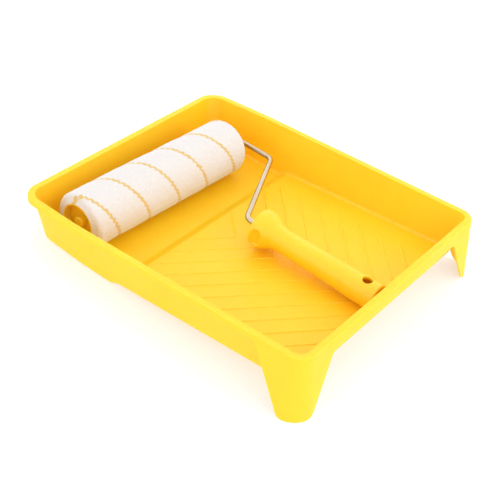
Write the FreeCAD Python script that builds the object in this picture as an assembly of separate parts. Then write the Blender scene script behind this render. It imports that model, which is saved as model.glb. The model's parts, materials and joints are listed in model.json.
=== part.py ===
import FreeCAD, Part
import math
import os

from FreeCAD import Vector

os.makedirs("parts", exist_ok=True)

# A paint roller tray with its nine-inch roller lying in it. Millimetres.
# The tray is drawn in its moulding frame: the top of the rim is the plane z = 0, x runs from the
# deep end to the shallow end and y from one long side to the other. It is then turned until the
# reservoir's underside is level, which raises the rim towards the shallow end.
# The roller is drawn in a frame of its own: its spindle lies along y and its handle along x.

# ---- tray ----
TRAY_LENGTH = 355.0
TRAY_WIDTH = 313.0
RIM_BAND = 7.0              # outer edge of the rim to its inner edge
RIM_THICKNESS = 2.2
RIM_LIP_DEPTH = 5.0         # the rim's outer edge is turned down this far
RIM_CORNER = 20.0
CORNER_DIFFERENCE = 3.0     # the deep corners are this much rounder and the shallow ones sharper
RIM_EDGE_ROUND = 0.9
DEEP_END_PINCH = 4.0        # how far each long side draws in towards the deep end
PINCH_LENGTH = 75.0         # the sides start to draw in this far from the deep end
PINCH_RADIUS = 400.0
WALL = 2.2
WALL_DRAFT = 0.186          # how far a wall leans inwards for each millimetre down
CAVITY_CORNER = 13.0        # corner radius of the cavity low down
LOFT_DEPTH = 66.0
STANDING_SLOPE = 0.052      # fall of the standing plane per millimetre towards the shallow end
STANDING_DEPTH = 51.1       # depth of the standing plane below the rim at the deep end
RESERVOIR_END = 115.0
RAMP_START = 127.5
RAMP_START_DEPTH = 51.99    # underside of the ramp at its start
RAMP_RISE = 0.0296
STEP_RADIUS = 6.0
OUTER_FOOT_FILLET = 6.0
INNER_FOOT_FILLET = 4.0
OUTER_FOOT_TOP = -40.0      # the edges at the foot of the walls all lie below these heights
INNER_FOOT_TOP = -38.0

# ---- chevron ribs on the ramp ----
RIB_HEIGHT = 0.7
RIB_BASE = 2.8
RIB_CROWN = 1.2
RIB_PITCH = 26.1
RIB_FIRST_APEX = 161.5
RIB_COUNT = 10
RIB_ANGLE = 48.0
RIB_SUNK = 0.6              # how far the ribs reach down into the ramp
RIB_BLOCK = 10.0            # half the height of the blocks that trim the ribs
RIB_FIELD_X = (RAMP_START + 4.0, 323.0)
RIB_SIDE_MARGIN = 44.0

# ---- skirt and legs at the shallow end ----
SKIRT_FLARE = math.tan(math.radians(6.0))
SKIRT_WALL = 2.2
SKIRT_DEPTH = 12.2
SKIRT_BLOCK_DEPTH = 80.0    # the flared block that the skirt and legs are cut from
SIDE_FLANGE_START = 299.0   # where the leg's flange on the long side begins, at the rim
SIDE_FLANGE_TAPER = 0.59
END_FLANGE_WIDTH = 47.0     # width of the leg's flange on the short side, at the skirt's edge
END_FLANGE_TAPER = 0.52
LEG_TOE_RADIUS = 11.0
LEG_ROOT_RADIUS = 10.0

# ---- roller sleeve and cage ----
SLEEVE_LENGTH = 230.0
CORE_BORE_RADIUS = 19.05
CORE_RADIUS = 21.0
PILE_RADIUS = 31.3
PILE_END_ROUND = 8.0
PILE_END_SETBACK = 1.0
BOND_GAP = 0.05
SPINDLE_RADIUS = 3.0
BEARING_CLEARANCE = 0.05
CAP_RADIUS = 18.9
CAP_LENGTH = 14.0
CAP_HUB_RADIUS = 7.0
CAP_SKIN = 2.4
CAP_WALL = 4.0
ROD_SIDE_CAP = 108.0        # outer face of the cap on the rod's side
FREE_CAP = -107.0           # outer face of the cap on the free side
CAGE_WIRES = 5
CAGE_WIRE_RADIUS = 1.25
CAGE_CIRCLE = 16.9
CAGE_SEAT_DEPTH = 9.0
CAGE_SEAT_GAP = 0.05
CAGE_END_PLAY = 0.5         # each wire stops this far short of its seat's end
DISC_THICKNESS = 5.0
DISC_RADIUS = 18.6
DISC_CLEARANCE = 0.4

# ---- rod, stops and handle ----
ROD_BEND = 11.0
ROD_SIDE_REACH = 130.2
ROD_ARM = 51.5
HANDLE_OFFSET = 22.8
ROD_NECK = 106.5
HANDLE_FRONT = 125.0
HANDLE_LENGTH = 150.0
TANG_LENGTH = 60.0
END_GAP = 0.35
COLLAR_RADIUS = 5.2
COLLAR_LENGTH = 4.0
COLLAR_CHAMFER = 0.5
WASHER_RADIUS = 6.5
WASHER_THICKNESS = 1.0
NUT_RADIUS = 5.6
NUT_LENGTH = 5.6
NUT_SKIN = 1.6
NUT_PLAY = 0.3              # from the spindle's tip to the end of the cap nut's bore
NUT_ROUND = 1.2
SPINDLE_CHAMFER = 0.7

# ---- the handle's side, as distances behind its front and radii ----
BELL_RADIUS = 20.6
BELL_RIM = 8.0              # the bell keeps its full radius this far back
BELL_EDGE_ROUND = 1.4
SHOULDER = (15.5, 17.6)
NECK = (24.0, 13.6)
GRIP_START = (36.0, 12.8)
GRIP_MIDDLE = (72.0, 13.3)
GRIP_SWELL = (115.0, 14.3)
GRIP_REAR_RADIUS = 15.0
GRIP_END_ROUND = 1.3
SIDE_POCKET_RADIUS = 7.0    # the upright hollow scooped out of each side of the bell
SIDE_POCKET_PLACE = (9.6, 22.8)
SIDE_POCKET_HEIGHT = 24.0
SIDE_POCKET_ROUND = 6.3      # its top and bottom are nearly balls

# ---- inside the handle ----
PLUG_SEAT_RADIUS = 12.6
PLUG_SEAT_DEPTH = 6.0
PLUG_BORE = 10.2
PLUG_LENGTH = 30.0
PLUG_RECESS = 2.0
PLUG_FACE_THICKNESS = 3.0
PLUG_CHAMFER = 0.8
PLUG_GAP = 0.05
TANG_PLAY = 1.0
SOCKET_RADIUS = 11.6
SOCKET_DEPTH = 66.0
HANG_HOLE_RADIUS = 5.5
HANG_HOLE_FROM_END = 15.5

# ---- where the roller lies ----
ROLLER_X = 62.72
ROLLER_Y = 144.2
ROLLER_TURN = -2.6
RESTING_GAP = 0.4
HANDLE_PITCH = 1.34

FAR = 40.0                  # how far cutting blocks run past the tray
NEAR = 0.05                 # places closer than this count as the same


def rounded_path(points):
    """A closed wire through points (position, corner radius), each corner rounded by a tangent arc."""
    edges = []
    joints = []
    count = len(points)
    for index in range(count):
        corner, radius = points[index]
        before = points[index - 1][0]
        after = points[(index + 1) % count][0]
        if radius == 0:
            joints.append((corner, corner))
            continue
        inward = (before - corner).normalize()
        outward = (after - corner).normalize()
        half = inward.getAngle(outward) / 2
        reach = radius / math.tan(half)
        start = corner + inward * reach
        end = corner + outward * reach
        bisector = (inward + outward).normalize()
        middle = corner + bisector * (radius / math.sin(half) - radius)
        edges.append(Part.Arc(start, middle, end).toShape())
        joints.append((start, end))
    for index in range(count):
        start = joints[index][1]
        end = joints[(index + 1) % count][0]
        if start.distanceToPoint(end) > 1e-6:
            edges.append(Part.makeLine(start, end))
    return Part.Wire(Part.__sortEdges__(edges))


def plan_outline(inset, radius, z):
    """The tray's outline drawn in by an inset, at height z. Its long sides draw in at the deep end."""
    low_x, high_x = inset, TRAY_LENGTH - inset
    low_y, high_y = inset, TRAY_WIDTH - inset
    deep, shallow = radius + CORNER_DIFFERENCE, radius - CORNER_DIFFERENCE
    corners = [
        (low_x, low_y + DEEP_END_PINCH, deep),
        (PINCH_LENGTH, low_y, PINCH_RADIUS),
        (high_x, low_y, shallow),
        (high_x, high_y, shallow),
        (PINCH_LENGTH, high_y, PINCH_RADIUS),
        (low_x, high_y - DEEP_END_PINCH, deep),
    ]
    return rounded_path([(Vector(x, y, z), turn) for x, y, turn in corners])


def slab(inset, radius, bottom, top):
    face = Part.Face(plan_outline(inset, radius, bottom))
    return face.extrude(Vector(0, 0, top - bottom))


def tapered_block(top_inset, top_radius, bottom_inset, bottom_radius, top, bottom):
    wires = [
        plan_outline(top_inset, top_radius, top),
        plan_outline(bottom_inset, bottom_radius, bottom),
    ]
    return Part.makeLoft(wires, True, True)


def standing_z(x):
    return -STANDING_DEPTH - STANDING_SLOPE * x


def ramp_z(x):
    return -RAMP_START_DEPTH + RAMP_RISE * (x - RAMP_START)


def above_floor(lift, shift):
    """Everything above the tray's bottom line, raised by lift, its step moved by shift along x."""
    end = TRAY_LENGTH + FAR
    points = [
        (Vector(-FAR, -FAR, FAR), 0),
        (Vector(-FAR, -FAR, standing_z(-FAR) + lift), 0),
        (Vector(RESERVOIR_END + shift, -FAR, standing_z(RESERVOIR_END + shift) + lift), STEP_RADIUS),
        (Vector(RAMP_START, -FAR, ramp_z(RAMP_START) + lift), STEP_RADIUS),
        (Vector(end, -FAR, ramp_z(end) + lift), 0),
        (Vector(end, -FAR, FAR), 0),
    ]
    face = Part.Face(rounded_path(points))
    return face.extrude(Vector(0, TRAY_WIDTH + 2 * FAR, 0))


def floor_edges(shape, z_limit):
    """Edges along the foot of the walls: all of an edge lies low and beside a wall."""
    chosen = []
    for edge in shape.Edges:
        box = edge.BoundBox
        across = box.YLength > TRAY_WIDTH / 2 and box.XMin > RESERVOIR_END / 2
        at_shallow_end = box.XMin > RIB_FIELD_X[1]
        if box.ZMax < z_limit and (at_shallow_end or not across):
            chosen.append(edge)
    return chosen


def tray_body():
    """The drafted box without its rim: outer block less cavity."""
    outer_inset = RIM_BAND - WALL
    outer = tapered_block(
        outer_inset, RIM_CORNER - outer_inset,
        outer_inset + WALL_DRAFT * LOFT_DEPTH, CAVITY_CORNER,
        0, -LOFT_DEPTH,
    ).common(above_floor(0, 0))
    outer = outer.makeFillet(OUTER_FOOT_FILLET, floor_edges(outer, OUTER_FOOT_TOP))
    cavity_inset = RIM_BAND
    cavity = tapered_block(
        cavity_inset - WALL_DRAFT, RIM_CORNER - cavity_inset,
        cavity_inset + WALL_DRAFT * LOFT_DEPTH, CAVITY_CORNER - WALL,
        1, -LOFT_DEPTH,
    ).common(above_floor(WALL, WALL))
    cavity = cavity.makeFillet(INNER_FOOT_FILLET, floor_edges(cavity, INNER_FOOT_TOP))
    return outer, cavity


def rim():
    plate = slab(0, RIM_CORNER, -RIM_LIP_DEPTH, 0)
    plate = plate.makeFillet(RIM_EDGE_ROUND, [edge for edge in plate.Edges if edge.BoundBox.ZMin > -NEAR])
    hollow = slab(RIM_THICKNESS, RIM_CORNER - RIM_THICKNESS, -RIM_LIP_DEPTH, -RIM_THICKNESS)
    return plate.cut(hollow)


def leg_outline():
    """The legs and skirt seen from the short end, as a block along x."""
    foot = standing_z(TRAY_LENGTH) * (1 + STANDING_SLOPE * SKIRT_FLARE)
    toe = END_FLANGE_WIDTH - END_FLANGE_TAPER * (-foot - SKIRT_DEPTH)
    far_side = TRAY_WIDTH
    points = [
        (Vector(0, -FAR, 0), 0),
        (Vector(0, -FAR, foot), 0),
        (Vector(0, toe, foot), LEG_TOE_RADIUS),
        (Vector(0, END_FLANGE_WIDTH, -SKIRT_DEPTH), LEG_ROOT_RADIUS),
        (Vector(0, far_side - END_FLANGE_WIDTH, -SKIRT_DEPTH), LEG_ROOT_RADIUS),
        (Vector(0, far_side - toe, foot), LEG_TOE_RADIUS),
        (Vector(0, far_side + FAR, foot), 0),
        (Vector(0, far_side + FAR, 0), 0),
    ]
    return Part.Face(rounded_path(points)).extrude(Vector(TRAY_LENGTH + FAR, 0, 0))


def side_outline():
    """The legs seen from the long side, as a block along y, standing on the standing plane."""
    end = TRAY_LENGTH + FAR
    top = -RIM_THICKNESS / 2
    toe = SIDE_FLANGE_START + SIDE_FLANGE_TAPER * -standing_z(TRAY_LENGTH)
    points = [
        (Vector(SIDE_FLANGE_START, -FAR, top), 0),
        (Vector(toe, -FAR, standing_z(toe)), LEG_TOE_RADIUS),
        (Vector(end, -FAR, standing_z(end)), 0),
        (Vector(end, -FAR, top), 0),
    ]
    return Part.Face(rounded_path(points)).extrude(Vector(0, TRAY_WIDTH + 2 * FAR, 0))


def skirt_and_legs():
    """A flared wall round the rim, cut down to the skirt at the short end and its two legs."""
    depth = SKIRT_BLOCK_DEPTH
    grow = SKIRT_FLARE * depth
    outer = tapered_block(0, RIM_CORNER, -grow, RIM_CORNER + grow, 0, -depth)
    inner = tapered_block(
        SKIRT_WALL, RIM_CORNER - SKIRT_WALL,
        SKIRT_WALL - grow, RIM_CORNER - SKIRT_WALL + grow,
        0, -depth,
    )
    return outer.cut(inner).common(leg_outline()).common(side_outline())


def chevron_ribs():
    """Two banks of low ribs that meet on the middle line and point at the shallow end."""
    middle = TRAY_WIDTH / 2
    low_x, high_x = RIB_FIELD_X
    section = [
        (-RIB_BASE / 2, -RIB_SUNK),
        (-RIB_BASE / 2, 0),
        (-RIB_CROWN / 2, RIB_HEIGHT),
        (RIB_CROWN / 2, RIB_HEIGHT),
        (RIB_BASE / 2, 0),
        (RIB_BASE / 2, -RIB_SUNK),
    ]
    length = TRAY_WIDTH
    bars = []
    for index in range(RIB_COUNT):
        apex = RIB_FIRST_APEX + index * RIB_PITCH
        points = [Vector(0, across, up) for across, up in section]
        bar = Part.Face(Part.makePolygon(points + points[:1])).extrude(Vector(-length, 0, 0))
        bar.translate(Vector(RIB_BASE, 0, 0))
        for side in (1, -1):
            arm = bar.copy()
            arm.rotate(Vector(0, 0, 0), Vector(0, 0, 1), side * RIB_ANGLE)
            half = Part.makeBox(2 * length, length, 2 * RIB_BLOCK, Vector(-length, 0, -RIB_BLOCK))
            if side > 0:
                half.translate(Vector(0, -length, 0))
            arm = arm.common(half)
            arm.translate(Vector(apex, middle, 0))
            bars.append(arm)
    ribs = bars[0].fuse(bars[1:])
    field = Part.makeBox(
        high_x - low_x, TRAY_WIDTH - 2 * RIB_SIDE_MARGIN, 2 * RIB_BLOCK,
        Vector(low_x, RIB_SIDE_MARGIN, -RIB_BLOCK)
    )
    ribs = ribs.common(field)
    ribs.rotate(Vector(0, 0, 0), Vector(0, 1, 0), -math.degrees(math.atan(RAMP_RISE)))
    ribs.translate(Vector(0, 0, ramp_z(0) + WALL))
    return ribs


def tray_shell():
    outer, cavity = tray_body()
    shell = outer.fuse([rim(), skirt_and_legs()]).cut(cavity)
    return shell.fuse(chevron_ribs()).removeSplitter()


def level(shape):
    """From the moulding frame to the standing frame: standing plane level at z = 0."""
    shape.rotate(Vector(0, 0, 0), Vector(0, 1, 0), -math.degrees(math.atan(STANDING_SLOPE)))
    shape.translate(Vector(0, 0, STANDING_DEPTH * math.cos(math.atan(STANDING_SLOPE))))
    return shape


def along_y(radius, start, end):
    return Part.makeCylinder(radius, end - start, Vector(0, start, 0), Vector(0, 1, 0))


def tube_y(outer, inner, start, end):
    return along_y(outer, start, end).cut(along_y(inner, start - 1, end + 1))


def rims_at(shape, along, radius):
    """The circular edges round the y axis that lie at a distance along it and have a radius."""
    return [
        edge for edge in shape.Edges
        if edge.Curve.TypeId == "Part::GeomCircle"
        and abs(edge.Curve.Radius - radius) < NEAR
        and edge.BoundBox.YLength < NEAR
        and abs(edge.BoundBox.YMin - along) < NEAR
    ]


def around_y(shape, count):
    return [
        shape.copy().rotate(Vector(0, 0, 0), Vector(0, 1, 0), 360.0 * index / count)
        for index in range(count)
    ]


def pile_sleeve():
    half = SLEEVE_LENGTH / 2 - PILE_END_SETBACK
    sleeve = tube_y(PILE_RADIUS, CORE_RADIUS + BOND_GAP, -half, half)
    rims = rims_at(sleeve, -half, PILE_RADIUS) + rims_at(sleeve, half, PILE_RADIUS)
    return sleeve.makeFillet(PILE_END_ROUND, rims)


def core_tube():
    half = SLEEVE_LENGTH / 2
    return tube_y(CORE_RADIUS, CORE_BORE_RADIUS, -half, half)


def cage_seats():
    half = SLEEVE_LENGTH / 2
    wire = along_y(CAGE_WIRE_RADIUS + CAGE_SEAT_GAP, -half, half)
    wire.translate(Vector(CAGE_CIRCLE, 0, 0))
    seats = around_y(wire, CAGE_WIRES)
    return seats[0].fuse(seats[1:])


def end_cap(outer_face, inward):
    """A cup-shaped bearing cap: outer skin, centre hub with the bearing bore, and wire seats."""
    inner_face = outer_face + inward * CAP_LENGTH
    low, high = sorted((outer_face, inner_face))
    cap = along_y(CAP_RADIUS, low, high)
    skin = outer_face + inward * CAP_SKIN
    low, high = sorted((skin, inner_face + inward))
    pocket = tube_y(CAGE_CIRCLE - CAP_WALL, CAP_HUB_RADIUS, low, high)
    low, high = sorted((outer_face - inward, inner_face + inward))
    bore = along_y(SPINDLE_RADIUS + BEARING_CLEARANCE, low, high)
    low, high = sorted((inner_face - inward * CAGE_SEAT_DEPTH, inner_face + inward))
    seats = cage_seats().common(along_y(CORE_RADIUS, low, high))
    return cap.cut(pocket).cut(bore).cut(seats)


def cage_wires():
    start = FREE_CAP + CAP_LENGTH - CAGE_SEAT_DEPTH + CAGE_END_PLAY
    end = ROD_SIDE_CAP - CAP_LENGTH + CAGE_SEAT_DEPTH - CAGE_END_PLAY
    wire = along_y(CAGE_WIRE_RADIUS, start, end)
    wire.translate(Vector(CAGE_CIRCLE, 0, 0))
    return Part.makeCompound(around_y(wire, CAGE_WIRES))


def cage_disc():
    middle = (FREE_CAP + ROD_SIDE_CAP) / 2
    disc = tube_y(
        DISC_RADIUS, SPINDLE_RADIUS + DISC_CLEARANCE,
        middle - DISC_THICKNESS / 2, middle + DISC_THICKNESS / 2,
    )
    return disc.cut(cage_seats())


def bent_rod():
    tip = FREE_CAP - END_GAP - WASHER_THICKNESS - NUT_LENGTH + NUT_SKIN + NUT_PLAY
    corners = [
        Vector(0, tip, 0),
        Vector(0, ROD_SIDE_REACH, 0),
        Vector(ROD_ARM, ROD_SIDE_REACH, 0),
        Vector(ROD_NECK, HANDLE_OFFSET, 0),
        Vector(HANDLE_FRONT + TANG_LENGTH, HANDLE_OFFSET, 0),
    ]
    pieces = []
    here = corners[0]
    for before, corner, after in zip(corners, corners[1:], corners[2:]):
        inward = (before - corner).normalize()
        outward = (after - corner).normalize()
        half = inward.getAngle(outward) / 2
        reach = ROD_BEND / math.tan(half)
        start = corner + inward * reach
        end = corner + outward * reach
        bisector = (inward + outward).normalize()
        centre = corner + bisector * (ROD_BEND / math.sin(half))
        pieces.append(Part.makeCylinder(SPINDLE_RADIUS, (start - here).Length, here, start - here))
        section = Part.Face(Part.Wire(Part.makeCircle(SPINDLE_RADIUS, start, inward)))
        turn = math.degrees((start - centre).getAngle(end - centre))
        axis = (start - centre).cross(end - centre)
        pieces.append(section.revolve(centre, axis, turn))
        here = end
    last = corners[-1]
    pieces.append(Part.makeCylinder(SPINDLE_RADIUS, (last - here).Length, here, last - here))
    rod = pieces[0].fuse(pieces[1:]).removeSplitter()
    return rod.makeChamfer(SPINDLE_CHAMFER, rims_at(rod, tip, SPINDLE_RADIUS))


def rod_collar():
    start = ROD_SIDE_CAP + END_GAP
    collar = tube_y(COLLAR_RADIUS, SPINDLE_RADIUS, start, start + COLLAR_LENGTH)
    rims = rims_at(collar, start, COLLAR_RADIUS) + rims_at(collar, start + COLLAR_LENGTH, COLLAR_RADIUS)
    return collar.makeChamfer(COLLAR_CHAMFER, rims)


def end_washer():
    end = FREE_CAP - END_GAP
    return tube_y(WASHER_RADIUS, SPINDLE_RADIUS, end - WASHER_THICKNESS, end)


def push_nut():
    """A domed plastic cap pressed over the spindle's tip."""
    end = FREE_CAP - END_GAP - WASHER_THICKNESS
    tip = Vector(0, end - NUT_LENGTH, 0)
    nut = Part.makeCylinder(NUT_RADIUS, NUT_LENGTH, tip, Vector(0, 1, 0))
    nut = nut.makeFillet(NUT_ROUND, rims_at(nut, tip.y, NUT_RADIUS))
    bore = Part.makeCylinder(SPINDLE_RADIUS, NUT_LENGTH, tip + Vector(0, NUT_SKIN, 0), Vector(0, 1, 0))
    return nut.cut(bore)


def turned(profile):
    """A solid turned about the handle's axis from points (distance along the axis, radius)."""
    points = [Vector(HANDLE_FRONT + along, HANDLE_OFFSET + radius, 0) for along, radius in profile]
    face = Part.Face(Part.makePolygon(points + points[:1]))
    return face.revolve(Vector(0, HANDLE_OFFSET, 0), Vector(1, 0, 0), 360)


def grip_curve():
    """The handle's side behind the bell's rim, as one smooth curve in the plane of the rod."""
    rear = (HANDLE_LENGTH, GRIP_REAR_RADIUS)
    stations = [(BELL_RIM, BELL_RADIUS), SHOULDER, NECK, GRIP_START, GRIP_MIDDLE, GRIP_SWELL, rear]
    curve = Part.BSplineCurve()
    curve.interpolate([Vector(HANDLE_FRONT + along, HANDLE_OFFSET + r, 0) for along, r in stations])
    return curve.toShape()


def side_pockets():
    """The two upright scoops in the bell's sides."""
    along, out = SIDE_POCKET_PLACE
    pockets = []
    for side in (1, -1):
        foot = Vector(HANDLE_FRONT + along, HANDLE_OFFSET + side * out, -SIDE_POCKET_HEIGHT / 2)
        pocket = Part.makeCylinder(SIDE_POCKET_RADIUS, SIDE_POCKET_HEIGHT, foot, Vector(0, 0, 1))
        ends = [edge for edge in pocket.Edges if edge.BoundBox.ZLength < NEAR]
        pockets.append(pocket.makeFillet(SIDE_POCKET_ROUND, ends))
    return pockets[0].fuse(pockets[1])


def rings_across(shape, along):
    """The rings round the x axis that lie at a distance along it."""
    return [
        edge for edge in shape.Edges
        if edge.BoundBox.XLength < NEAR
        and edge.BoundBox.YLength > NEAR
        and abs(edge.BoundBox.XMin - along) < NEAR
    ]


def handle_body():
    side = grip_curve()
    bell_end, last = side.Vertexes[0].Point, side.Vertexes[-1].Point
    axis_rear = Vector(last.x, HANDLE_OFFSET, 0)
    axis_front = Vector(HANDLE_FRONT, HANDLE_OFFSET, 0)
    front_rim = Vector(HANDLE_FRONT, HANDLE_OFFSET + BELL_RADIUS, 0)
    outline = Part.Wire([
        Part.makeLine(axis_front, front_rim),
        Part.makeLine(front_rim, bell_end),
        side,
        Part.makeLine(last, axis_rear),
        Part.makeLine(axis_rear, axis_front),
    ])
    body = Part.Face(outline).revolve(Vector(0, HANDLE_OFFSET, 0), Vector(1, 0, 0), 360)
    body = body.makeFillet(BELL_EDGE_ROUND, rings_across(body, HANDLE_FRONT))
    body = body.makeFillet(GRIP_END_ROUND, rings_across(body, last.x))
    seat_end = PLUG_RECESS + PLUG_LENGTH
    front_hollow = turned([
        (-1, 0), (-1, PLUG_SEAT_RADIUS), (PLUG_SEAT_DEPTH, PLUG_SEAT_RADIUS), (PLUG_SEAT_DEPTH, PLUG_BORE),
        (seat_end, PLUG_BORE), (seat_end, 0),
    ])
    tang_end = TANG_LENGTH + TANG_PLAY
    tang_hollow = turned([
        (0, 0), (0, SPINDLE_RADIUS + PLUG_GAP), (tang_end, SPINDLE_RADIUS + PLUG_GAP), (tang_end, 0),
    ])
    socket = turned([
        (HANDLE_LENGTH - SOCKET_DEPTH, 0), (HANDLE_LENGTH - SOCKET_DEPTH, SOCKET_RADIUS),
        (HANDLE_LENGTH + 1, SOCKET_RADIUS), (HANDLE_LENGTH + 1, 0),
    ])
    hang = Part.makeCylinder(
        HANG_HOLE_RADIUS, 4 * GRIP_REAR_RADIUS,
        Vector(HANDLE_FRONT + HANDLE_LENGTH - HANG_HOLE_FROM_END, HANDLE_OFFSET, -2 * GRIP_REAR_RADIUS),
        Vector(0, 0, 1),
    )
    return body.cut(side_pockets()).cut(front_hollow).cut(tang_hollow).cut(socket).cut(hang)


def handle_plug():
    """The plug that closes the bell and grips the rod: a flat face and a long spigot."""
    face = PLUG_SEAT_RADIUS - PLUG_GAP
    spigot = PLUG_BORE - PLUG_GAP
    hole = SPINDLE_RADIUS + PLUG_GAP
    face_end = PLUG_SEAT_DEPTH - PLUG_GAP
    end = PLUG_RECESS + PLUG_LENGTH - TANG_PLAY
    front = face_end - PLUG_FACE_THICKNESS
    return turned([
        (front, hole),
        (front, face - PLUG_CHAMFER),
        (front + PLUG_CHAMFER, face),
        (face_end, face),
        (face_end, spigot),
        (end, spigot),
        (end, hole),
    ])


def lay_down(shape, floor_top):
    """From the roller's own frame to where it lies in the tray."""
    shape.rotate(Vector(0, 0, 0), Vector(0, 1, 0), -HANDLE_PITCH)
    shape.rotate(Vector(0, 0, 0), Vector(0, 0, 1), ROLLER_TURN)
    shape.translate(Vector(ROLLER_X, ROLLER_Y, floor_top + PILE_RADIUS + RESTING_GAP))
    return shape


roller_parts = {
    "pile_sleeve": pile_sleeve(),
    "core_tube": core_tube(),
    "end_cap_rod_side": end_cap(ROD_SIDE_CAP, -1),
    "end_cap_free_side": end_cap(FREE_CAP, 1),
    "cage_wires": cage_wires(),
    "cage_centre_disc": cage_disc(),
    "bent_rod": bent_rod(),
    "rod_collar": rod_collar(),
    "end_washer": end_washer(),
    "push_nut": push_nut(),
    "handle_body": handle_body(),
    "handle_plug": handle_plug(),
}
parts = {"tray_shell": level(tray_shell())}
for name, shape in roller_parts.items():
    parts[name] = lay_down(shape, WALL)

# The row's origin: middle of the tray's footprint, on the plane it stands on.
box = parts["tray_shell"].optimalBoundingBox()
origin = Vector((box.XMin + box.XMax) / 2, (box.YMin + box.YMax) / 2, box.ZMin)
for name, shape in parts.items():
    shape.translate(origin * -1)
    print(name, shape.isValid(), len(shape.Solids), round(shape.Volume / 1000, 2), "cm3")
    shape.exportStep("parts/" + name + ".step")
print("origin", origin, box.XLength, box.YLength, box.ZLength)
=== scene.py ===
"""A yellow paint roller tray with its nine-inch roller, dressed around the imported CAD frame."""

import json
import math

import bpy
from mathutils import Matrix, Quaternion, Vector, noise


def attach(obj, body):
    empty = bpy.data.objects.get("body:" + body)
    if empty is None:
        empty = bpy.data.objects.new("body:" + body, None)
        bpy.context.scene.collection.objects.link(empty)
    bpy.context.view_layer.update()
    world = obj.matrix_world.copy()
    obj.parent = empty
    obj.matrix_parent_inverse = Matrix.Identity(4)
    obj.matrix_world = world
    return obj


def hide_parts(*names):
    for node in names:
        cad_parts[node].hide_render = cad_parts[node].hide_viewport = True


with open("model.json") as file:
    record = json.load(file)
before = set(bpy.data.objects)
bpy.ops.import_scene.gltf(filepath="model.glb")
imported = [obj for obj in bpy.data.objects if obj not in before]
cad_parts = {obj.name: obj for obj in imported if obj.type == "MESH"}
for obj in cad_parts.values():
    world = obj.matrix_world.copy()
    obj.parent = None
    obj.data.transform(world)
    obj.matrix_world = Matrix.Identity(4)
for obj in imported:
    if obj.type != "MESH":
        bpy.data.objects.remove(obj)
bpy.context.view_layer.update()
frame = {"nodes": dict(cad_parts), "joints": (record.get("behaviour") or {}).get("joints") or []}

# ---- camera: its place in metres, its turn in degrees, its lens and sensor in millimetres ----
CAMERA_PLACE = (0.47497, -0.77771, 0.73115)
CAMERA_AZIMUTH = 31.345
CAMERA_ELEVATION = 38.545
CAMERA_ROLL = 10.502
CAMERA_LENS = 80.19
SENSOR = 36.0
NEAREST_SEEN = 0.01
FARTHEST_SEEN = 50.0

# ---- studio ----
SKY_LOW = 1.78               # the sky's strength at the horizon
SKY_HIGH = 1.15              # and overhead
SOFT_BOXES = (               # name, place, the point it is aimed at, width, power in watts
    ("overhead", (-0.25, 0.7, 1.6), (0, 0, 0), 1.6, 3.0),
    ("front", (1.2, -2.0, 1.0), (0, 0, 0), 2.2, 4.0),
    ("side", (1.7, 0.5, 1.0), (-0.1, 0, 0), 1.6, 6.0),
)
FLOOR_HALF = 6.0             # half the floor's width
FLOOR_GLOW = 0.50            # lifts the pale floor to the white of the sky

# ---- colours, linear: a material's usual tone, then the one that its clouds drift to ----
WHITE = (1.0, 1.0, 1.0, 1.0)
TRAY_TONES = ((0.93, 0.57, 0.007, 1.0), (0.91, 0.545, 0.005, 1.0))
GRIP_TONES = ((0.93, 0.56, 0.012, 1.0), (0.91, 0.535, 0.008, 1.0))
CAP_TONES = ((0.92, 0.56, 0.016, 1.0), (0.89, 0.52, 0.012, 1.0))
CORE_TONES = ((0.92, 0.58, 0.05, 1.0), (0.89, 0.54, 0.04, 1.0))
ZINC_TONES = ((0.62, 0.53, 0.41, 1.0), (0.49, 0.41, 0.30, 1.0))
ZINC_DULL = (0.42, 0.40, 0.38, 1.0)
PILE_TONES = ((0.615, 0.582, 0.562, 1.0), (0.655, 0.625, 0.605, 1.0))
YARN_TONES = ((0.54, 0.34, 0.04, 1.0), (0.64, 0.43, 0.08, 1.0))
FLOOR_TONES = ((0.49, 0.49, 0.49, 1.0), (0.52, 0.52, 0.52, 1.0))

# ---- how fine each grain is, as noise cells per metre ----
FLOW_CLOUDS = 9.0
PIGMENT_SPECKS = 900.0
SCUFF_STRETCH = (40.0, 900.0, 300.0)
WORN_PATCHES = 22.0
MOULD_SKIN = 1400.0
WALL_SAG = 16.0
PLATING_CLOUDS = 60.0
DULL_SPOTS = 420.0
DRAWING_LINES = 2600.0
PILE_TUFTS = 420.0
PILE_FIBRES = 1800.0
YARN_FRAY = 500.0
FLOOR_CLOUDS = 3.0

# ---- polypropylene: light goes a little way in and comes out redder ----
PLASTIC_IOR = 1.49
SCATTER_WEIGHT = 0.5
SCATTER_RADIUS = (1.0, 0.35, 0.05)
SCATTER_DEPTH = 0.008

# ---- the yarn stripes ----
HELIX_PITCH = 0.0886         # the fabric strip goes once round the sleeve in this length
STRIPE_STARTS = (0.005, 0.498)  # where the two stripes lie across the strip, as shares of it
STRIPE_HALF_WIDTH = 0.0017
STRIPE_FULL = 0.6            # the yarn covers the pile up to this share of the half width
STRIPE_GONE = 1.5            # and has faded out at this one
YARN_COVER = 0.85            # how much of the pile's white the yarn hides at most
ZIGZAG_REACH = 0.0008
ZIGZAGS_PER_TURN = 34
FRAY_REACH = 0.006
HALF_TURN = 0.5              # a ping-pong over this length repeats once per whole turn

# ---- the pile's mesh ----
AROUND = 340                 # divisions round the sleeve
ALONG = 170                  # divisions along its straight part
ARC_STEPS = 14               # divisions round each end's corner
NEAR_CORNER = 0.0055         # how round the pile's ends are, at the open end
FAR_CORNER = 0.0095          # and at the rod's side
LIP_REACH = 0.0012           # how far the pile puffs out over the core's end
LIP = ((0.0, -0.0016), (0.75, -0.0012), (1.0, 0.0), (0.85, 0.0009))
FLAT_BY_THE_BORE = 0.002     # the relief grows from nothing over this much radius

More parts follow.
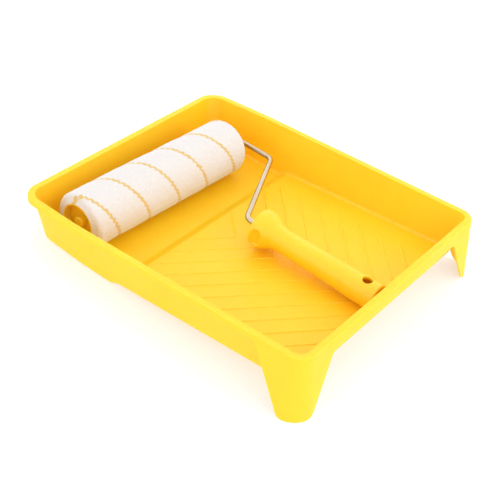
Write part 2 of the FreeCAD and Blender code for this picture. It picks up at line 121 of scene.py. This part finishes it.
# ---- the pile's relief ----
TUFT_SIZE = 0.0040
TUFT_DEPTH = 0.0007
STRIPE_GROOVE = 0.0004       # the yarn stripes lie this far below the pile round them
USUAL_DEPTH = 0.6            # these four are shares of the tuft depth
TUFT_SHARE = 0.40
FINE_SHARE = 0.3
BROAD_SHARE = 0.8
FINE_TUFT = 0.45             # the small and large lumps, as multiples of the tuft size
BROAD_TUFT = 7
FINE_SHIFT = Vector((7, 3, 1))  # keeps the small lumps from lining up with the tufts


def feed(tree, node, sockets):
    """Links or sets a node's inputs, given by name or number."""
    for name, value in sockets.items():
        target = node.inputs[name]
        if isinstance(value, bpy.types.NodeSocket):
            tree.links.new(value, target)
        else:
            target.default_value = value


def add(tree, kind, sockets=None, **settings):
    """A shader node with its settings and its inputs."""
    made = tree.nodes.new("ShaderNode" + kind)
    for name, value in settings.items():
        setattr(made, name, value)
    feed(tree, made, sockets or {})
    return made


def calc(tree, operation, *values):
    """One Math node's result."""
    return add(tree, "Math", dict(enumerate(values)), operation=operation).outputs[0]


def mix(tree, share, first, second):
    """Two colours mixed."""
    return add(tree, "Mix", {0: share, 6: first, 7: second}, data_type="RGBA").outputs[2]


def ramp(tree, value, low, high, to_low=0.0, to_high=1.0):
    """A value carried smoothly from one range to another."""
    sockets = {0: value, 1: low, 2: high, 3: to_low, 4: to_high}
    return add(tree, "MapRange", sockets, interpolation_type="SMOOTHSTEP").outputs[0]


def grain(tree, place, scale, detail=3.0, roughness=0.55, distortion=0.0):
    """A noise texture's value at a place."""
    sockets = {
        "Vector": place,
        "Scale": scale,
        "Detail": detail,
        "Roughness": roughness,
        "Distortion": distortion,
    }
    return add(tree, "TexNoise", sockets).outputs[0]


def bumps(tree, *layers):
    """Bump nodes in a chain, each layer (height, strength, distance in metres)."""
    normal = None
    for height, strength, distance in layers:
        sockets = {"Height": height, "Strength": strength, "Distance": distance}
        if normal is not None:
            sockets["Normal"] = normal
        normal = add(tree, "Bump", sockets).outputs[0]
    return normal


def new_material(name):
    """A material with its Principled shader, and the object coordinates in metres."""
    material = bpy.data.materials.new(name)
    material.use_nodes = True
    tree = material.node_tree
    shader = tree.nodes["Principled BSDF"]
    place = add(tree, "TexCoord").outputs["Object"]
    return material, tree, shader, place


def moulded_plastic(name, tones, gloss=0.46, texture=0.10):
    """Injection-moulded polypropylene: flow clouds, a spark-eroded skin and hairline scuffs."""
    material, tree, shader, place = new_material(name)
    cloud = grain(tree, place, FLOW_CLOUDS, detail=4.0, distortion=0.6)
    speck = grain(tree, place, PIGMENT_SPECKS, detail=2.0)
    drift = ramp(tree, cloud, 0.38, 0.66, to_high=0.7)
    share = calc(tree, "ADD", drift, calc(tree, "MULTIPLY", speck, 0.2))
    colour = mix(tree, share, *tones)
    stretched = add(tree, "Mapping", {"Vector": place, "Scale": SCUFF_STRETCH}).outputs[0]
    scuff = ramp(tree, grain(tree, stretched, 1.0, detail=5.0, roughness=0.7), 0.60, 0.74)
    wear = ramp(tree, grain(tree, place, WORN_PATCHES, detail=6.0, roughness=0.7), 0.42, 0.68)
    worn = calc(tree, "MULTIPLY", wear, 0.10)
    scuffed = calc(tree, "MULTIPLY", scuff, 0.06)
    rough = calc(tree, "ADD", calc(tree, "ADD", worn, scuffed), gloss)
    skin = grain(tree, place, MOULD_SKIN, detail=2.0)
    sag = grain(tree, place, WALL_SAG, detail=1.0)
    feed(tree, shader, {
        "Base Color": colour,
        "Roughness": rough,
        "Normal": bumps(tree, (sag, 0.35, 0.0009), (skin, texture, 0.0002), (scuff, 0.05, 0.00005)),
        "IOR": PLASTIC_IOR,
        "Subsurface Weight": SCATTER_WEIGHT,
        "Subsurface Radius": SCATTER_RADIUS,
        "Subsurface Scale": SCATTER_DEPTH,
    })
    return material


def plated_steel(name):
    """Zinc-plated drawn wire: bright, with drawing lines, cloudy plating and a few dull spots."""
    material, tree, shader, place = new_material(name)
    cloud = grain(tree, place, PLATING_CLOUDS, detail=5.0, roughness=0.65)
    spots = ramp(tree, grain(tree, place, DULL_SPOTS, detail=3.0), 0.62, 0.72)
    bright = mix(tree, cloud, *ZINC_TONES)
    colour = mix(tree, calc(tree, "MULTIPLY", spots, 0.5), bright, ZINC_DULL)
    polish = ramp(tree, cloud, 0.3, 0.7, 0.10, 0.19)
    rough = calc(tree, "ADD", polish, calc(tree, "MULTIPLY", spots, 0.2))
    lines = grain(tree, place, DRAWING_LINES, detail=2.0)
    feed(tree, shader, {
        "Base Color": colour,
        "Metallic": 1.0,
        "Roughness": rough,
        "Normal": bumps(tree, (lines, 0.06, 0.0001), (spots, 0.1, 0.00005)),
    })
    return material


def stripe_share(tree, place):
    """How much of the yarn stripe lies at a place on the sleeve, whose axis is its own y."""
    parts = add(tree, "SeparateXYZ", {"Vector": place})
    angle = calc(tree, "ARCTAN2", parts.outputs[2], parts.outputs[0])
    turn = calc(tree, "DIVIDE", angle, 2 * math.pi)
    fray = grain(tree, place, YARN_FRAY, detail=3.0)
    teeth = calc(tree, "MULTIPLY", turn, float(ZIGZAGS_PER_TURN))
    zigzag = calc(tree, "PINGPONG", teeth, HALF_TURN)
    centred = calc(tree, "SUBTRACT", zigzag, HALF_TURN / 2)
    sway = calc(tree, "MULTIPLY", centred, ZIGZAG_REACH / (HALF_TURN / 2))
    jitter = calc(tree, "MULTIPLY", calc(tree, "SUBTRACT", fray, 0.5), FRAY_REACH)
    along = calc(tree, "ADD", parts.outputs[1], calc(tree, "ADD", sway, jitter))
    strip = calc(tree, "ADD", calc(tree, "DIVIDE", along, HELIX_PITCH), turn)
    nearest = None
    for start in STRIPE_STARTS:
        shifted = calc(tree, "SUBTRACT", strip, start)
        apart = calc(tree, "MULTIPLY", calc(tree, "PINGPONG", shifted, HALF_TURN), HELIX_PITCH)
        nearest = apart if nearest is None else calc(tree, "MINIMUM", nearest, apart)
    full, gone = STRIPE_HALF_WIDTH * STRIPE_FULL, STRIPE_HALF_WIDTH * STRIPE_GONE
    return ramp(tree, nearest, full, gone, 1.0, 0.0)


def pile_fabric(name):
    """White knitted pile with two yellow yarns woven in along the strip."""
    material, tree, shader, place = new_material(name)
    tuft = grain(tree, place, PILE_TUFTS, detail=4.0, roughness=0.6)
    white = mix(tree, ramp(tree, tuft, 0.3, 0.7), *PILE_TONES)
    yarn = mix(tree, ramp(tree, tuft, 0.3, 0.7), *YARN_TONES)
    cover = calc(tree, "MULTIPLY", stripe_share(tree, place), YARN_COVER)
    fibre = grain(tree, place, PILE_FIBRES, detail=4.0, roughness=0.7)
    feed(tree, shader, {
        "Base Color": mix(tree, cover, white, yarn),
        "Roughness": ramp(tree, tuft, 0.2, 0.8, 0.98, 0.86),
        "Sheen Weight": 0.35,
        "Sheen Roughness": 0.45,
        "Specular IOR Level": 0.2,
        "Normal": bumps(tree, (tuft, 0.3, 0.0004), (fibre, 0.25, 0.0002)),
    })
    return material


def floor_paper(name):
    """Matt white paper, faintly cloudy."""
    material, tree, shader, place = new_material(name)
    cloud = grain(tree, place, FLOOR_CLOUDS, detail=3.0)
    feed(tree, shader, {
        "Base Color": mix(tree, cloud, *FLOOR_TONES),
        "Roughness": 0.9,
        "Specular IOR Level": 0.1,
        "Emission Color": WHITE,
        "Emission Strength": FLOOR_GLOW,
    })
    return material


def dress(material, *nodes):
    """Gives CAD nodes a material in place of the plain one they were packed with."""
    for name in nodes:
        slots = frame["nodes"][name].data.materials
        slots.clear()
        slots.append(material)


def new_object(name, data):
    """An object made from its data and put in the scene."""
    made = bpy.data.objects.new(name, data)
    bpy.context.scene.collection.objects.link(made)
    return made


def sleeve_frame():
    """The sleeve's own frame in the row frame: y along its axis, z up, at its middle."""
    joint = next(j for j in frame["joints"] if j["name"] == "roller_spin")
    axis = Vector(joint["axis"]).normalized()
    middle = Vector(joint["pos_m"])
    side = axis.cross(Vector((0, 0, 1))).normalized()
    up = side.cross(axis)
    turned = Matrix((side, axis, up)).transposed().to_4x4()
    return Matrix.Translation(middle) @ turned


def sizes_along(node, place):
    """A round CAD node's two ends along its axis, then its smallest and largest radius."""
    points = [place.inverted() @ v.co for v in frame["nodes"][node].data.vertices]
    radii = [math.hypot(p.x, p.z) for p in points]
    return min(p.y for p in points), max(p.y for p in points), min(radii), max(radii)


def end_profile(end, outward, inner, outer, corner):
    """One end of the pile's section, as points (along, radius) from the bore out to the side."""
    points = [(end + outward * LIP_REACH * out, inner + up) for out, up in LIP]
    for step in range(ARC_STEPS + 1):
        angle = math.pi / 2 * step / ARC_STEPS
        points.append((
            end - outward * corner * (1 - math.cos(angle)),
            outer - corner * (1 - math.sin(angle)),
        ))
    return points


def sleeve_profile(low, high, inner, outer):
    """The pile's section from one bore edge over the outside to the other."""
    near = end_profile(low, -1, inner, outer, NEAR_CORNER)
    far = end_profile(high, 1, inner, outer, FAR_CORNER)
    start, end = low + NEAR_CORNER, high - FAR_CORNER
    straight = [(start + (end - start) * step / ALONG, outer) for step in range(1, ALONG)]
    return near + straight + far[::-1]


def stripe_distance(point):
    """How far a point on the sleeve lies from the nearest yarn stripe, along the sleeve."""
    strip = point.y / HELIX_PITCH + math.atan2(point.z, point.x) / (2 * math.pi)
    return HELIX_PITCH * min(abs((strip - start + 0.5) % 1 - 0.5) for start in STRIPE_STARTS)


def pile_relief(point):
    """How deep the pile lies below its tips at a point, in metres."""
    tufts = TUFT_SHARE * noise.noise(point / TUFT_SIZE)
    fine = FINE_SHARE * noise.noise(point / (TUFT_SIZE * FINE_TUFT) + FINE_SHIFT)
    broad = BROAD_SHARE * noise.noise(point / (TUFT_SIZE * BROAD_TUFT))
    away = stripe_distance(point) / (2 * STRIPE_HALF_WIDTH)
    groove = STRIPE_GROOVE * math.exp(-(away ** 2))
    return groove + TUFT_DEPTH * (USUAL_DEPTH - tufts - fine - broad)


def pile_points(profile, inner):
    """The pile's skin, one ring of points for each point of its section."""
    points = []
    for index, (along, radius) in enumerate(profile):
        before = profile[max(index - 1, 0)]
        after = profile[min(index + 1, len(profile) - 1)]
        slope = Vector((after[0] - before[0], after[1] - before[1])).normalized()
        soft = max(0.0, min(1.0, (radius - inner) / FLAT_BY_THE_BORE))
        for step in range(AROUND):
            angle = 2 * math.pi * step / AROUND
            spoke = Vector((math.cos(angle), 0, math.sin(angle)))
            normal = spoke * slope.x - Vector((0, 1, 0)) * slope.y
            point = spoke * radius + Vector((0, along, 0))
            points.append(point - normal * max(0.0, pile_relief(point)) * soft)
    return points


def pile_faces(rings):
    """Quads between neighbouring rings, and between the last and the first to line the bore."""
    faces = []
    for ring in range(rings - 1):
        here, there = ring * AROUND, (ring + 1) * AROUND
        for step in range(AROUND):
            following = (step + 1) % AROUND
            faces.append((here + step, here + following, there + following, there + step))
    last = (rings - 1) * AROUND
    for step in range(AROUND):
        following = (step + 1) % AROUND
        faces.append((last + step, last + following, following, step))
    return faces


def build_pile():
    """The pile as a closed skin with a relief of tufts, standing for the plain CAD sleeve."""
    place = sleeve_frame()
    low, high, inner, outer = sizes_along("pile_sleeve", place)
    profile = sleeve_profile(low, high, inner, outer)
    mesh = bpy.data.meshes.new("pile_cover")
    mesh.from_pydata(pile_points(profile, inner), [], pile_faces(len(profile)))
    mesh.polygons.foreach_set("use_smooth", [True] * len(mesh.polygons))
    mesh.update()
    piece = new_object("pile_cover", mesh)
    piece.matrix_world = place
    mesh.materials.append(pile_fabric("pile_white"))
    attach(piece, "roller")
    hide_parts("pile_sleeve")


def build_floor():
    """A wide pale floor under the tray."""
    corners = [(-1, -1), (1, -1), (1, 1), (-1, 1)]
    points = [(x * FLOOR_HALF, y * FLOOR_HALF, 0) for x, y in corners]
    mesh = bpy.data.meshes.new("floor")
    mesh.from_pydata(points, [], [(0, 1, 2, 3)])
    mesh.materials.append(floor_paper("floor_paper"))
    new_object("floor", mesh)


def softbox(name, place, aim, size, power):
    """A square area light at a place, aimed at a point."""
    data = bpy.data.lights.new(name, "AREA")
    data.size = size
    data.energy = power
    lamp = new_object(name, data)
    lamp.location = place
    lamp.rotation_mode = "QUATERNION"
    lamp.rotation_quaternion = (Vector(aim) - Vector(place)).to_track_quat("-Z", "Y")


def build_light():
    """An even white studio: a sky that is brightest low down, and three broad soft boxes."""
    world = bpy.data.worlds.new("studio")
    world.use_nodes = True
    tree = world.node_tree
    way = add(tree, "TexCoord").outputs["Generated"]
    height = add(tree, "SeparateXYZ", {"Vector": way}).outputs[2]
    strength = ramp(tree, height, 0.0, 1.0, SKY_LOW, SKY_HIGH)
    feed(tree, tree.nodes["Background"], {"Color": WHITE, "Strength": strength})
    bpy.context.scene.world = world
    for settings in SOFT_BOXES:
        softbox(*settings)


def build_camera():
    """The camera, aimed by its azimuth and elevation and then rolled."""
    data = bpy.data.cameras.new("camera")
    data.lens = CAMERA_LENS
    data.sensor_width = SENSOR
    data.clip_start, data.clip_end = NEAREST_SEEN, FARTHEST_SEEN
    camera = new_object("camera", data)
    around, above = math.radians(CAMERA_AZIMUTH), math.radians(CAMERA_ELEVATION)
    back = Vector((
        math.sin(around) * math.cos(above),
        -math.cos(around) * math.cos(above),
        math.sin(above),
    ))
    camera.location = CAMERA_PLACE
    camera.rotation_mode = "QUATERNION"
    level = (-back).to_track_quat("-Z", "Y")
    camera.rotation_quaternion = level @ Quaternion((0, 0, 1), math.radians(CAMERA_ROLL))
    bpy.context.scene.camera = camera


grip_yellow = moulded_plastic("grip_yellow", GRIP_TONES, gloss=0.42, texture=0.05)
cap_yellow = moulded_plastic("cap_yellow", CAP_TONES, gloss=0.4)
steel = plated_steel("plated_steel")

dress(moulded_plastic("tray_yellow", TRAY_TONES), "tray_shell")
dress(grip_yellow, "handle_body", "handle_plug")
dress(cap_yellow, "end_cap_rod_side", "end_cap_free_side", "cage_centre_disc")
dress(cap_yellow, "end_washer", "push_nut")
dress(moulded_plastic("core_white", CORE_TONES, gloss=0.45), "core_tube")
dress(steel, "bent_rod", "rod_collar", "cage_wires")

build_pile()
build_floor()
build_light()
build_camera()
bpy.context.scene.view_settings.view_transform = "Standard"
